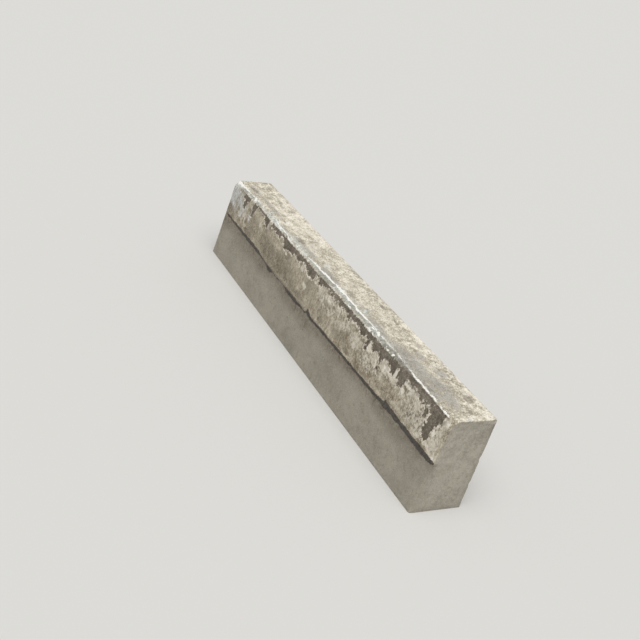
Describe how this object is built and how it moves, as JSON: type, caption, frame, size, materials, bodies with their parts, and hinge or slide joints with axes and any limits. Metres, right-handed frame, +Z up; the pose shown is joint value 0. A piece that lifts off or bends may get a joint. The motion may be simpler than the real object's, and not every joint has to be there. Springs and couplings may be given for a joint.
{
  "type": "concrete kerb stone",
  "caption": "Straight upright concrete kerb with a rounded, scuffed nose and a battered road face, set in a bed so that it edges a car park.",
  "frame": {"origin": "middle of the bed, the flat underside that the kerb stands on", "axes": "+X along the kerb, -Y towards the road, +Y towards the verge, +Z up"},
  "size_m": [1.524, 0.1778, 0.3048],
  "materials": {
    "concrete": "weathered, gritty, dry"
  },
  "bodies": {
    "root": {"kerb_stone": "concrete"}
  },
  "joints": []
}
